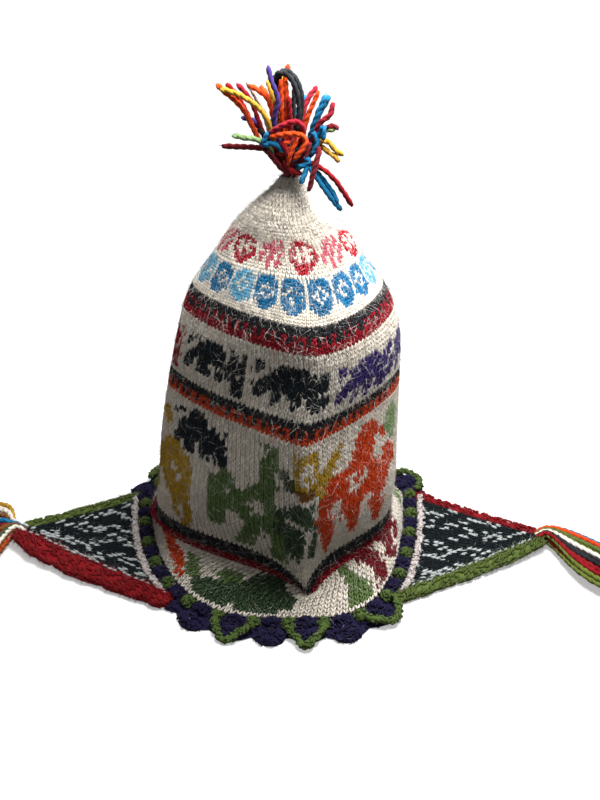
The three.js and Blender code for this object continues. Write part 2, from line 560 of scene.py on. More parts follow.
def skin(work, rings, yarns):
    """A closed skin through rings of equal count, with a middle point in each end."""
    rows, columns = rings.shape[:2]
    points = np.concatenate([rings.reshape(-1, 3), rings[[0, -1]].mean(1)])
    if np.ndim(yarns):
        yarns = np.concatenate([yarns, np.full(columns, yarns[0]), np.full(columns, yarns[-1])])
    work.add(points, skin_faces(rows, columns), yarns)


def turned(turn, side, up):
    """Vectors at turns round a line, from its side towards its up."""
    return np.cos(turn)[..., None] * side + np.sin(turn)[..., None] * up


def lying_on(out):
    """Unit vectors that lie every way on a surface with the given ways out."""
    loose = rng.normal(size=out.shape)
    return unit(loose - out * (loose * out).sum(1, keepdims=True))


SPINDLE_FACES = skin_faces(len(SPINDLE_RINGS), SPINDLE_SIDES)


def spindles(work, start, end, out, side_radius, out_radius, lift, yarns):
    """Legs of yarn from start to end, lifted along out; radii and yarns are one value or one for each leg."""
    count = len(start)
    along = unit(end - start)
    across = unit(np.cross(out, along))
    up = np.cross(along, across)
    turn = (np.arange(SPINDLE_SIDES) / SPINDLE_SIDES + SPINDLE_TURN) * 2 * np.pi
    wide = np.broadcast_to(side_radius, count)[:, None, None] * across[:, None]
    tall = np.broadcast_to(out_radius, count)[:, None, None] * up[:, None]
    ring = turned(turn, wide, tall)
    raised = lift * up
    rings = [(start + (end - start) * share + raised)[:, None] + ring for share in SPINDLE_RINGS]
    points = np.concatenate([*rings, start[:, None], end[:, None]], 1)
    faces = SPINDLE_FACES[None] + (np.arange(count) * points.shape[1])[:, None, None]
    shades = np.repeat(np.broadcast_to(yarns, count), len(SPINDLE_FACES))
    work.add(points.reshape(-1, 3), faces.reshape(-1, 3), shades)
    work.grow((start + end) / 2 + raised, up, yarns)


def stitch_row(work, lower, upper, yarns, leg=LEG):
    """One row of V stitches between two lines of cell corners; the knit side is to the left of the row."""
    width = lower[1:] - lower[:-1]
    height = upper[:-1] - lower[:-1]
    out = unit(np.cross(width, height))
    size = np.linalg.norm(width + upper[1:] - upper[:-1], axis=1) / 2
    for places in STITCH_LEGS:
        ends = []
        for share in (places.low, places.high):
            across, up = np.array(share)[:, None] + rng.normal(0, LEG_JITTER, (2, len(width)))
            below = lower[:-1] + width * across[:, None]
            above = upper[:-1] + (upper[1:] - upper[:-1]) * across[:, None]
            ends.append(below + (above - below) * up[:, None])
        thick = 1 + rng.normal(0, 2 * LEG_JITTER, len(width))
        chance = rng.random(len(width))
        shades = np.where(chance < RAGGED, np.roll(yarns, 1), yarns)
        shades = np.where(chance > 1 - RAGGED, np.roll(yarns, -1), shades)
        low, high = ends[0], ends[1] - out * leg.sink
        spindles(work, low, high, out, leg.side * size * thick, leg.out * thick, leg.lift, shades)


# Lines: a line too steep for the usual side vector starts from another one
CURVE_STEPS = 24
STEEP = 0.9


def curve(a, b, c, d, share):
    """Points of a Catmull-Rom curve at shares of the way from b to c."""
    return b + 0.5 * share * (c - a + share * (2 * a - 5 * b + 4 * c - d + share * (3 * (b - c) + d - a)))


def line_length(points):
    return np.linalg.norm(np.diff(points, axis=0), axis=1).sum()


def line_run(points):
    """How far along a line each of its points is."""
    return np.concatenate([[0], np.cumsum(np.linalg.norm(np.diff(points, axis=0), axis=1))])


def even_line(points, count):
    run = line_run(points)
    at = np.linspace(0, run[-1], count)
    return np.stack([np.interp(at, run, points[:, k]) for k in range(3)], 1)


def smooth_line(points, count):
    """Points spaced evenly along a smooth curve through a few given ones."""
    points = np.asarray(points, float)
    ends = np.concatenate([[2 * points[0] - points[1]], points, [2 * points[-1] - points[-2]]])
    share = np.linspace(0, 1, CURVE_STEPS, endpoint=False)[:, None]
    runs = [curve(*four, share) for four in zip(ends, ends[1:], ends[2:], ends[3:])]
    return even_line(np.concatenate([*runs, points[-1:]]), count)


def line_frames(line):
    """Unit tangent, side and up vectors along a line, carried on from point to point without twisting."""
    tangent = unit(np.gradient(line, axis=0))
    side = np.zeros_like(line)
    helper = UP if abs(tangent[0, 2]) < STEEP else ASIDE
    side[0] = unit(np.cross(helper, tangent[0]))
    for i in range(1, len(line)):
        side[i] = unit(side[i - 1] - tangent[i] * side[i - 1].dot(tangent[i]))
    return tangent, side, np.cross(tangent, side)


def tube(work, line, radius, sides, yarn):
    """A closed tube along a line; radius is one value or one for each point."""
    _, side, up = line_frames(line)
    turn = np.arange(sides) / sides * 2 * np.pi
    reach = np.broadcast_to(radius, len(line))[:, None, None]
    skin(work, line[:, None] + reach * turned(turn, side[:, None], up[:, None]), yarn)


# Plied yarn: two plies wound round each other
STRAND = Named(
    radius=1.2, ply=0.92, offset=0.32, twist=6, phase=6, sides=4, tip=0.55,
    spacing=1.5, rough=40, least=8, hair_spacing=4,
)


def strand(work, points, yarn, scale):
    """A loose end of plied yarn along a smooth curve through a few points."""
    length = line_length(smooth_line(points, STRAND.rough))
    line = smooth_line(points, max(STRAND.least, int(length / STRAND.spacing)))
    _, side, up = line_frames(line)
    turn = np.linspace(0, length / (STRAND.twist * scale), len(line)) * 2 * np.pi
    turn += rng.uniform(0, STRAND.phase)
    taper = np.ones(len(line))
    taper[-1] = STRAND.tip
    for phase in (0, np.pi):
        ply = line + turned(turn + phase, side, up) * STRAND.offset * scale
        tube(work, ply, STRAND.ply * scale * taper, STRAND.sides, YARN_INDEX[yarn])
    picks = rng.integers(0, len(line), len(line) // STRAND.hair_spacing)
    work.grow(line[picks], up[picks], YARN_INDEX[yarn])


# Crown surface
LEVEL_STEP = 0.004


def level_at(t):
    t = np.asarray(t, float)
    i = np.clip(np.floor(t).astype(int), 0, NECK - 1)
    around = (LEVELS[np.clip(i + k, 0, NECK)] for k in (-1, 0, 1, 2))
    rows = curve(*around, (t - i)[..., None])
    return Named(**dict(zip(COLUMNS, np.moveaxis(rows, -1, 0))))


def wall(t, turn):
    """Points on the outside of the crown; turn 0 is the front crease and a quarter turn is the right side."""
    t, turn = np.broadcast_arrays(np.asarray(t, float), np.asarray(turn, float))
    row = level_at(t)
    c = np.cos(turn * 2 * np.pi)
    s = np.sin(turn * 2 * np.pi)
    ahead = np.maximum(c, 0)
    across = row.half * signed_power(s, 2 / np.where(c > 0, row.crease, BACK_POWER))
    across = across * (1 - row.splay * c)
    along = signed_power(c, 2 / np.where(c > 0, row.side, BACK_POWER))
    along = along * np.where(c > 0, row.front, row.back)
    x = row.midX + across + row.tip * ahead ** 2
    return np.stack([x, row.midY - along, row.z - row.droop * ahead ** DROOP_POWER], -1)


def wall_out(t, turn):
    """The way out of the wall, in the upright plane through each turn."""
    angle = turn * 2 * np.pi
    ray = np.stack([np.sin(angle), -np.cos(angle), 0 * angle], -1)
    up = wall(np.minimum(t + LEVEL_STEP, NECK), turn) - wall(np.maximum(t - LEVEL_STEP, 0), turn)
    out = ray * up[..., 2:]
    out[..., 2] = -(up * ray).sum(-1)
    return unit(out)


def fine_ring(t):
    """The turns and points of one level, close together."""
    turns = np.linspace(0, 1, FINE_TURNS + 1)
    return turns, wall(t, turns)


def ring_turns(t, shares):
    """Turns at even shares of the way round one level, measured along the wall."""
    turns, loop = fine_ring(t)
    run = line_run(loop)
    return np.interp(shares, run / run[-1], turns)


# Crown knitting: figures with their chart, first column from the front crease, top row and yarn
BODY_STITCHES = 132
UPPER_STITCHES = 120
BETWEEN_STITCHES = 112
CONE_STITCH = 2.1
LEAST_STITCHES = 8
PLAIN_TOP = 2
REPEAT = 8
DIAMONDS = 18
LIGHT_DIAMONDS = (3, 13, 15)
FLOWERS = 12
FLOWER_SHIFT = 3
FLOWER_TURNS = ((FLOWER, "flower_red"), (LEAVES, "flower_pink"))
FINE_LEVELS = 3000
SIDE_TURNS = (0.2, 0.8)
LOWER_FIGURES = (
    (POST, -39, 0, "orange"), (BAR, -32, 0, "orange"), (TWIG, -23, 2, "green"), (TUFT, -15, 2, "green"),
    (HILL, -18, 0, "dark_green"), (STALK, 7, 0, "green"), (CLAW, 11, 0, "maroon"), (WING, 17, 0, "maroon"),
    (KID, 34, 1, "green"), (KID, 50, 1, "orange"), (STALK, 66, 0, "dark_green"), (CLAW, 75, 0, "green"),
)
LLAMA_FIGURES = (
    (LLAMA_LEFT, -20, 2, "green"), (FOAL, -6, 12, "dark_green"), (EAR, -5, 6, "dark_green"),
    (GATE, -2, 2, "mustard"), (GATE_FOOT, -2, 9, "brown"), (SLASH, 2, 3, "mustard"),
    (LLAMA_RIGHT, 3, 2, "orange"), (SMALL_CAT, -31, 1, "ink"), (GRAZING_LLAMA, -38, 4, "mustard"),
    (SHRUB, 21, 2, "pale_green"), (LLAMA_LEFT, 30, 2, "purple"), (SMALL_CAT, 45, 1, "ink"),
    (LLAMA_RIGHT, 50, 3, "band_red"), (LLAMA_LEFT, 73, 2, "dark_green"),
)
ANIMAL_FIGURES = (
    (CAT, -48, 3, "band_red"), (CAT, -30, 3, "ink"), (CROUCHING_CAT, -12, 3, "ink"),
    (CROUCHING_CAT, 5, 4, "purple"), (CROUCHING_CAT, 20, 4, "purple"), (CAT, 37, 3, "green"),
    (CROUCHING_CAT, 54, 4, "flower_red"), (CROUCHING_CAT, 70, 3, "blue"),
)


def blank(rows, stitches, yarn="cream"):
    return np.full((rows, stitches), YARN_INDEX[yarn])


def figured(rows, figures, stitches=BODY_STITCHES):
    """A cream band with figures; its rows run from the top down and its columns run round."""
    grid = blank(rows, stitches)
    for chart, start, top, yarn in figures:
        for i, line in enumerate(chart):
            for j, mark in enumerate(line):
                if mark == "#":
                    grid[top + i, (start + j) % stitches] = YARN_INDEX[yarn]
    return grid


def striped(rows, under, plain, mixed=True, stitches=BODY_STITCHES):
    """Charcoal rows above, plain ones of another yarn below and, if mixed, columns of both between."""
    grid = blank(rows, stitches, "charcoal")
    if mixed:
        grid[PLAIN_TOP:, ::2] = YARN_INDEX[under]
    grid[rows - plain:] = YARN_INDEX[under]
    return grid


def diamonds():
    for k in range(DIAMONDS):
        yield DIAMOND, REPEAT * k, 0, "light_blue" if k in LIGHT_DIAMONDS else "blue"


def flowers():
    for k in range(FLOWERS):
        chart, yarn = FLOWER_TURNS[k % 2]
        yield chart, REPEAT * k - FLOWER_SHIFT, 0, yarn


# Bands from the rim up, with the height of each one's top at the side seams; the peak counts its own stitches
BANDS = (
    Named(name="lower", top=19, grid=figured(rows=10, figures=LOWER_FIGURES)),
    Named(name="lower", top=35.5, grid=striped(rows=6, under="band_red", plain=2, mixed=False)),
    Named(name="llamas", top=125.8, grid=figured(rows=30, figures=LLAMA_FIGURES)),
    Named(name="animals", top=138.4, grid=striped(rows=5, under="orange", plain=1)),
    Named(name="animals", top=177.2, grid=figured(rows=14, figures=ANIMAL_FIGURES)),
    Named(
        name="animals", top=190.9,
        grid=striped(rows=6, under="band_red", plain=2, stitches=UPPER_STITCHES),
    ),
    Named(name="cone", top=195, grid=blank(rows=3, stitches=REPEAT * DIAMONDS)),
    Named(name="cone", top=210, grid=figured(rows=10, stitches=REPEAT * DIAMONDS, figures=diamonds())),
    Named(name="cone", top=212, grid=blank(rows=1, stitches=BETWEEN_STITCHES)),
    Named(name="cone", top=226.3, grid=figured(rows=10, stitches=REPEAT * FLOWERS, figures=flowers())),
    Named(name="peak", top=255, grid=blank(rows=14, stitches=0)),
)


def knit_rows():
    """Every row of the crown from the rim up: its piece, lower and upper level, and yarns."""
    fine = np.linspace(0, NECK, FINE_LEVELS + 1)
    sides = wall(fine[:, None], np.array(SIDE_TURNS)[None])
    heights = level_at(fine).z
    run = np.concatenate([[0], np.cumsum(np.linalg.norm(np.diff(sides, axis=0), axis=2).mean(1))])
    rows = []
    bottom = heights[0]
    for band in BANDS:
        ends = np.interp([bottom, band.top], heights, run)
        bottom = band.top
        levels = np.interp(np.linspace(*ends, len(band.grid) + 1), run, fine)
        for low, high, yarns in zip(levels, levels[1:], band.grid[::-1]):
            if not len(yarns):
                _, loop = fine_ring((low + high) / 2)
                stitches = max(LEAST_STITCHES, round(line_length(loop) / CONE_STITCH))
                yarns = np.full(stitches, YARN_INDEX["cream"])
            rows.append(Named(name=band.name, low=low, high=high, yarns=yarns))
    return rows


ROWS = knit_rows()


def sunk_ring(t, depth):
    """Points of one level, sunk below the outside of the crown."""
    turns = ring_turns(t, np.arange(BODY_STITCHES) / BODY_STITCHES)
    return wall(t, turns) - wall_out(np.full(BODY_STITCHES, t), turns) * depth


def crown_shell():
    """The wall behind the stitches, hollow, painted with the same yarns."""
    levels = [row.low for row in ROWS] + [NECK]
    outer = [sunk_ring(t, SHELL_DEPTH) for t in levels]
    inner = [sunk_ring(t, WALL) for t in levels if t <= CEILING]
    shares = (np.arange(BODY_STITCHES) + 0.5) / BODY_STITCHES
    cells = [row.yarns[(shares * len(row.yarns)).astype(int)] for row in ROWS]
    ceiling = np.full(BODY_STITCHES, YARN_INDEX["cream"])
    cells = [*cells[:len(inner) - 1][::-1], ceiling, *cells]
    work = Work()
    skin(work, np.array([*inner[::-1], *outer]), np.repeat(np.concatenate(cells), 2))
    work.piece("crown_wall", "knit", "crown")


def crown_stitches():
    works = {}
    for row in ROWS:
        work = works.setdefault(row.name, Work())
        shares = np.linspace(0, 1, len(row.yarns) + 1)
        lower = wall(row.low, ring_turns(row.low, shares))
        upper = wall(row.high, ring_turns(row.high, shares))
        stitch_row(work, lower, upper, row.yarns, SOFT_LEG if row.name in SOFT_BANDS else LEG)
    for name, work in works.items():
        work.piece(f"crown_knit_{name}", "knit")
    return works


# Rim edging: one row of crochet beside the flaps and two rows elsewhere
EDGING = Named(blocks=52, first=10.5, second=7.5, scallop=5, height=6.2, bump=0.2, cuts=8)
EDGE_SHARES = (0, 0.28, 0.56, 0.78, 0.94, 1)
EDGE_TWO_ROWS = (0.65, 1.0, 0.72, 0.92, 0.62, 0.32)
EDGE_ONE_ROW = (0.65, 0.95, 1.0, 0.92, 0.62, 0.32)
EDGE_GAP = 0.4
EDGE_CORE = Named(inside=-2.0, inset=2.5, drop=3.2, loops=1100, felt_from=0.3, flat=(1, 1, 0.2))
RIM_STEP = 0.002
BESIDE_FLAP = 0.9
NAVY_BOBBLE = Named(along=6.4, across=5.8, tall=6.6, loops=34, yarn="navy", at=0.52)
GREEN_BOBBLE = Named(along=4.9, across=5.0, tall=7.0, loops=28, yarn="edge_green", at=0.54)
NAVY_SHELL = Named(along=10, across=7, tall=6.0, loops=60, yarn="navy", inset=0)
LOOPED_SHELL = Named(along=9, across=6, tall=5.0, loops=44, yarn="navy", inset=2)
LOWEST = np.array([-np.inf, -np.inf, 0.3])
BOBBLE_RINGS = ((0.96, 0.02), (0.97, 0.2), (0.8, 0.6), (0.5, 0.86), (0.15, 0.98))
BOBBLE_TURNS = 10
BOBBLE_CORE = 0.9
LOOP = Named(half=2.1, radius=1.0, lift=0.25, reach=0.93)
LOOP_LENGTHS = (0.7, 1.2)
CORD_SIDES = 8
CORD_LENGTHS = (0.6, 1.0)
GREEN_CORD = Named(radius=1.7, loops=2.2, yarn="edge_green", inset=1.0, wander=0.8, points=30)
# The green cord over a shell: share along it, share of the second row's width and height
SHELL_CORD = np.array([
    [0, 0.1, 6.6],
    [0.24, 0.72, 5.6],
    [0.5, 1.06, 3.8],
    [0.76, 0.72, 5.6],
    [1, 0.1, 6.6],
])
FLAP_BASE = 104
FLAP_MID_Y = -5
FLAP_TIP_X = 182
FLAP_TIP_Y = {-1: 2, 1: -5}


def rim_offset(u, offset):
    """Points in plan beside the knit edge, at shares u of the way round from the crease."""
    turn = ring_turns(0, np.mod(u, 1))
    ahead = unit((wall(0, turn + RIM_STEP) - wall(0, turn - RIM_STEP))[..., :2])
    place = wall(0, turn)
    x = place[..., 0] + ahead[..., 1] * offset
    y = place[..., 1] - ahead[..., 0] * offset
    return np.stack([x, y, np.zeros_like(x)], -1)


def smooth_step(value, low, high):
    share = np.clip((value - low) / (high - low), 0, 1)
    return share * share * (3 - 2 * share)


def beside_flap(u):
    from_middle = np.abs(rim_offset(u, EDGING.first)[..., 1] - FLAP_MID_Y)
    return 1 - smooth_step(from_middle, FLAP_BASE / 2, FLAP_BASE / 2 + EDGING.first / 2)


def edging_width(u):
    shell = np.abs(np.sin(u * EDGING.blocks * np.pi / 2))
    return EDGING.first + (1 - beside_flap(u)) * (EDGING.second + EDGING.scallop * shell)


def core_width(u):
    return edging_width(u) - EDGE_CORE.inset * (1 - beside_flap(u))


def core_point(u, offset):
    """Points on top of the edging's core, below its bobbles."""
    flap = beside_flap(u)
    share = np.broadcast_to(offset, u.shape) / edging_width(u)
    two = np.interp(share, EDGE_SHARES, EDGE_TWO_ROWS)
    one = np.interp(share, EDGE_SHARES, EDGE_ONE_ROW)
    block = np.abs(np.sin(u * EDGING.blocks * np.pi))
    tall = EDGING.height * (1 - EDGING.bump + EDGING.bump * block)
    points = rim_offset(u, offset)
    points[..., 2] = tall * (two + (one - two) * flap) - EDGE_CORE.drop
    return points


def edging_core(work):
    count = EDGING.blocks * EDGING.cuts
    u = np.arange(count) / count
    width = core_width(u)
    rings = [rim_offset(u, EDGE_CORE.inside), rim_offset(u, width * EDGE_SHARES[-2])]
    for share in EDGE_SHARES[::-1]:
        offset = np.where(share > 0, width * share, EDGE_CORE.inside)
        rings.append(np.maximum(core_point(u, offset), LOWEST))
    rings = np.stack(rings, 1)
    columns = rings.shape[1]
    faces = grid_faces(count + 1, columns) % (count * columns)
    work.add(rings.reshape(-1, 3), faces, YARN_INDEX["navy"])


def loops(work, place, heading, out, yarn, loop=LOOP, lengths=LOOP_LENGTHS):
    """Short loops of yarn, each lying along its heading."""
    half = heading * loop.half * rng.uniform(*lengths, (len(place), 1))
    spindles(work, place - half, place + half, out, loop.radius, loop.radius, loop.lift, yarn)


def felt_core(work):
    """Loops that cover the flat of the edging between its shells."""
    count = EDGE_CORE.loops
    u = rng.random(count)
    place = core_point(u, core_width(u) * rng.uniform(EDGE_CORE.felt_from, 1, count))
    lying = unit(rng.normal(size=(count, 3)) * np.array(EDGE_CORE.flat))
    loops(work, place, lying, UP, YARN_INDEX["navy"])


def bobble(work, u, offset, shape):
    """A crochet bobble: a low dome beside the rim, covered in short loops that lie every way."""
    middle = rim_offset(np.array([u]), offset)[0]
    ahead = unit(np.diff(rim_offset(np.array([u - RIM_STEP, u + RIM_STEP]), offset), axis=0)[0])
    axes = np.stack([ahead, np.array([ahead[1], -ahead[0], 0]), UP])
    sizes = np.array([shape.along, shape.across, shape.tall])
    yarn = YARN_INDEX[shape.yarn]
    turns = np.arange(BOBBLE_TURNS) / BOBBLE_TURNS * 2 * np.pi
    rings = []
    for reach, height in BOBBLE_RINGS:
        flat = np.stack([reach * np.cos(turns), reach * np.sin(turns), np.full(BOBBLE_TURNS, height)], 1)
        rings.append(middle + (flat * (sizes - BOBBLE_CORE)) @ axes)
    skin(work, np.array(rings)[:, ::-1], yarn)
    count = shape.loops
    turn = rng.uniform(0, 2 * np.pi, count)
    reach = LOOP.reach * np.sqrt(rng.random(count))
    local = np.stack([reach * np.cos(turn), reach * np.sin(turn), np.sqrt(1 - reach ** 2)], 1)
    outs = unit((local / sizes) @ axes)
    loops(work, middle + (local * (sizes - LOOP.radius / 2)) @ axes, lying_on(outs), outs, yarn)


def felted_cord(work, line, cord):
    """A soft cord along a line, covered in short loops that lie every way."""
    yarn = YARN_INDEX[cord.yarn]
    tube(work, line, cord.radius, CORD_SIDES, yarn)
    count = round(line_length(line) * cord.loops)
    spot = rng.integers(0, len(line) - 1, count)
    along, side, up = line_frames(line)
    out = turned(rng.uniform(0, 2 * np.pi, count), side[spot], up[spot])
    place = line[spot] + (line[spot + 1] - line[spot]) * rng.random((count, 1)) + out * cord.radius
    across = np.cross(along[spot], out)
    heading = unit(along[spot] + across * rng.normal(0, 1, (count, 1)))
    loops(work, place, heading, out, yarn, lengths=CORD_LENGTHS)


def shell(work, pair, pairs):
    """One scallop of the second row; every other one carries a green cord."""
    middle = np.array([(pair + 0.5) / pairs])
    if beside_flap(middle)[0] > BESIDE_FLAP:
        return
    shape = NAVY_SHELL if pair % 2 else LOOPED_SHELL
    reach = edging_width(middle)[0]
    bobble(work, middle[0], reach - shape.across - shape.inset, shape)
    if shape is LOOPED_SHELL:
        shares, outwards, heights = SHELL_CORD.T
        offset = EDGING.first + outwards * (reach - EDGING.first) - GREEN_CORD.inset
        line = rim_offset((pair + shares) / pairs, offset)
        line[:, 2] = heights
        line += rng.normal(0, GREEN_CORD.wander, line.shape)
        felted_cord(work, smooth_line(line, GREEN_CORD.points), GREEN_CORD)


def rim_edging():
    work = Work()
    edging_core(work)
    felt_core(work)
    pairs = EDGING.blocks // 2
    for pair in range(pairs):
        bobble(work, (pair + 0.5) / pairs, EDGING.first * NAVY_BOBBLE.at, NAVY_BOBBLE)
    for pair in range(pairs):
        shell(work, pair, pairs)
    for pair in range(pairs):
        bobble(work, pair / pairs, EDGING.first * GREEN_BOBBLE.at, GREEN_BOBBLE)
    work.piece("rim_crochet", "edging", "rim_edging")
    return work


# Earflaps
SEAM = Named(radius=2.1, inset=1, middle=3.4, points=60)
SEAM_CORD = Named(radius=1.5, loops=2.0, yarn="chain_white")
PANEL = Named(
    thick=3.6, lift=5, tip_back=6, end=0.98, across=40, cuts=16, measure=9,
    wider=1.6, under_seam=4.4, floor=0.1, knit_sink=0.3,
)
PANEL_STITCH = Named(wide=3.0, tall=3.3, least=3)
# Pale lines of the flaps: one set waves to and fro, the other is slanted and broken
FLAP_WAVE = Named(rows=12, start=2, apart=5)
FLAP_SLANT = Named(apart=9, kept=0.6)
FLAP_KEPT = 0.93
BORDER = Named(
    taper=0.12, start=-0.15, end=1.0, round=0.07, end_least=0.2, bow_power=1.3,
    lump=0.06, lumps=(19, 41), cuts=20, turns=16,
)
FELT = Named(
    half=2.4, radius=0.85, lift=0.2, lean=0.55, spread=0.35, apart=4.6, sink=0.5,
    rows=30, around=20,
)
BORDERS = (
    Named(name="red_edge_left", side=-1, edge=-1, wide=13, tall=7.5, bow=5, yarn="flap_red"),
    Named(name="green_edge_left", side=-1, edge=1, wide=8, tall=5, bow=1, yarn="flap_green"),
    Named(name="green_edge_right", side=1, edge=-1, wide=9, tall=6, bow=2, yarn="flap_green"),
    Named(name="red_edge_right", side=1, edge=1, wide=8, tall=5, bow=0, yarn="flap_red"),
)
BORDER_SLOTS = {"flap_red": "red_border", "flap_green": "green_border"}
WIDEST_BORDER = max(border.wide for border in BORDERS)
WHIPPED = ("red_edge_left", "green_edge_right")
WHIP = Named(
    count=20, end=0.93, uneven=(0.2, 0.8), turn=0.42, half=2.0, lean=0.7, radius=1.0,
    lift=0.6,
)
PANEL_OFFSET = EDGING.first + 2 * EDGE_GAP + 2 * SEAM.radius


def flap_line(side, offset, inset, count):
    """Points along the rim beside one flap, from front to back."""
    points = rim_offset(np.arange(FINE_TURNS) / FINE_TURNS, offset)
    half = FLAP_BASE / 2 - inset
    keep = (np.sign(points[:, 0]) == side) & (np.abs(points[:, 1] - FLAP_MID_Y) <= half)
    points = points[keep]
    return even_line(points[np.argsort(points[:, 1])], count)


def lifted(share):
    return PANEL.lift * share ** 2


def panel_tip(side):
    return np.array([side * (FLAP_TIP_X - PANEL.tip_back), FLAP_TIP_Y[side], 0.0])


def panel_line(side, share, count, raised=0.0, wider=0.0):
    base = flap_line(side, PANEL_OFFSET - wider, WIDEST_BORDER / 2 - wider, count)
    line = base + (panel_tip(side) - base) * share
    line[:, 2] = lifted(share) + raised
    return line


def flap_yarns(row, count):
    """Dark ground with broken pale lines that wave from the base to the tip."""
    column = np.arange(count) - count // 2
    wave = np.abs((row + FLAP_WAVE.start) % FLAP_WAVE.rows - FLAP_WAVE.rows // 2)
    pale = np.mod(column + wave // 2, FLAP_WAVE.apart) == 0
    pale |= (np.mod(column - row // 2, FLAP_SLANT.apart) == 0) & (rng.random(count) < FLAP_SLANT.kept)
    pale &= rng.random(count) < FLAP_KEPT
    return np.where(pale, YARN_INDEX["grey_white"], YARN_INDEX["teal"])


def flap_slab(side):
    """The closed sheet behind a flap's stitches."""
    slab = Work()
    rings = []
    for share in np.linspace(0, PANEL.end, PANEL.cuts):
        low = panel_line(side, share, PANEL.across, PANEL.floor, PANEL.under_seam)
        high = panel_line(side, share, PANEL.across, PANEL.thick - SHELL_DEPTH, PANEL.under_seam)
        ring = np.concatenate([low, high[::-1]])
        rings.append(ring if side < 0 else ring[::-1])
    skin(slab, np.array(rings), YARN_INDEX["teal"])
    return slab


def earflap(side, word):
    sheet = flap_slab(side).piece(f"earflap_{word}_cloth", "flap", f"earflap_{word}")
    work = Work()
    middle = panel_line(side, share=0, count=3)[1]
    reach = np.linalg.norm(panel_tip(side) - middle) * PANEL.end
    rows = round(reach / PANEL_STITCH.tall)
    for row in range(rows):
        low_share = PANEL.end * row / rows
        high_share = PANEL.end * (row + 1) / rows
        length = line_length(panel_line(side, low_share, PANEL.measure))
        count = max(PANEL_STITCH.least, round(length / PANEL_STITCH.wide))
        raised = PANEL.thick - PANEL.knit_sink
        lower = panel_line(side, low_share, count + 1, raised, PANEL.wider)
        upper = panel_line(side, high_share, count + 1, raised, PANEL.wider)
        if side > 0:
            lower, upper = lower[::-1], upper[::-1]
        stitch_row(work, lower, upper, flap_yarns(row, count))
    stitches = work.piece(f"earflap_{word}_knit", "flap")
    base = line_length(panel_line(side, 0, PANEL.measure))
    return work


def flap_seam(side, word):
    work = Work()
    line = flap_line(side, EDGING.first + EDGE_GAP + SEAM.radius, SEAM.inset, SEAM.points)
    line[:, 2] = SEAM.middle
    felted_cord(work, line, SEAM_CORD)
    work.piece(f"flap_chain_{word}", "seam", f"flap_seam_{word}")
    return work


def border_ring(border, share, turns, shrink):
    """Points round one cut of a rolled border; shrink takes them below its outside."""
    side, edge = border.side, border.edge
    base = flap_line(side, PANEL_OFFSET, WIDEST_BORDER / 2, PANEL.across)
    start = base[0] if edge < 0 else base[-1]
    along = panel_tip(side) - start
    out = unit(np.array([-along[1], along[0], 0]))
    if out[1] * edge < 0:
        out = -out
    slow, quick = BORDER.lumps
    lump = 1 + BORDER.lump * (math.sin(slow * share + side) + math.sin(quick * share + edge))
    bow = border.bow * math.sin(math.pi * np.clip(share, 0, 1) ** BORDER.bow_power)
    half = (border.wide * (1 - BORDER.taper * share) + bow) / 2
    rise = border.tall / 2 * (1 - BORDER.taper * share)
    middle = start + along * share + out * half
    from_end = min(share - BORDER.start, BORDER.end - share) / BORDER.round
    slim = math.sqrt(min(1, BORDER.end_least + from_end))
    turn = turns * 2 * np.pi
    points = middle + out * ((half * lump - shrink) * slim * np.cos(turn))[:, None]
    points[:, 2] = rise + (rise - shrink) * slim * np.sin(turn) + lifted(max(share, 0))
    return points


def whip_stitches(work, border):
    """Short pale stitches that hold the border to the panel."""
    count = WHIP.count
    shares = (np.arange(count) + rng.uniform(*WHIP.uneven, count)) / count * WHIP.end
    inner = np.array([border_ring(border, share, np.array([WHIP.turn]), 0)[0] for share in shares])
    out = unit(inner[-1] - inner[0])
    across = np.array([-out[1], out[0], 0.0])
    start = inner - out * WHIP.half - across * WHIP.lean
    end = inner + out * WHIP.half + across * WHIP.lean
    spindles(work, start, end, UP, WHIP.radius, WHIP.radius, WHIP.lift, YARN_INDEX["grey_white"])


def felt_border(work, border, mirrored):
    """Short slanted loops that lie all over a border, close together."""
    cuts = np.linspace(BORDER.start, BORDER.end, FELT.rows + 1)
    around = np.linspace(0, 1, FELT.around + 1)
    grid = np.array([border_ring(border, cut, around, FELT.sink) for cut in cuts])
    length = np.linalg.norm(grid[-1].mean(0) - grid[0].mean(0))
    girth = line_length(grid[FELT.rows // 2])
    count = round(length * girth / FELT.apart)
    row = rng.integers(0, FELT.rows, count)
    turn = rng.integers(0, FELT.around, count)
    corner = grid[row, turn]
    along = grid[row + 1, turn] - corner
    across = grid[row, turn + 1] - corner
    place = corner + along * rng.random((count, 1)) + across * rng.random((count, 1))
    out = unit(np.cross(along, across)) * (-1 if mirrored else 1)
    heading = unit(unit(along) + unit(across) * rng.normal(FELT.lean, FELT.spread, (count, 1)))
    loops(work, place, heading, out, YARN_INDEX[border.yarn], FELT)


def flap_border(border):
    work = Work()
    turns = np.arange(BORDER.turns) / BORDER.turns
    shares = np.linspace(BORDER.start, BORDER.end, BORDER.cuts + 1)
    rings = np.array([border_ring(border, share, turns, SHELL_DEPTH) for share in shares])
    mirrored = border.side * border.edge > 0
    skin(work, rings if mirrored else rings[:, ::-1], YARN_INDEX[border.yarn])
    felt_border(work, border, mirrored)
    if border.name in WHIPPED:
        whip_stitches(work, border)
    work.piece(f"{border.name}_crochet", BORDER_SLOTS[border.yarn], border.name)
    return work


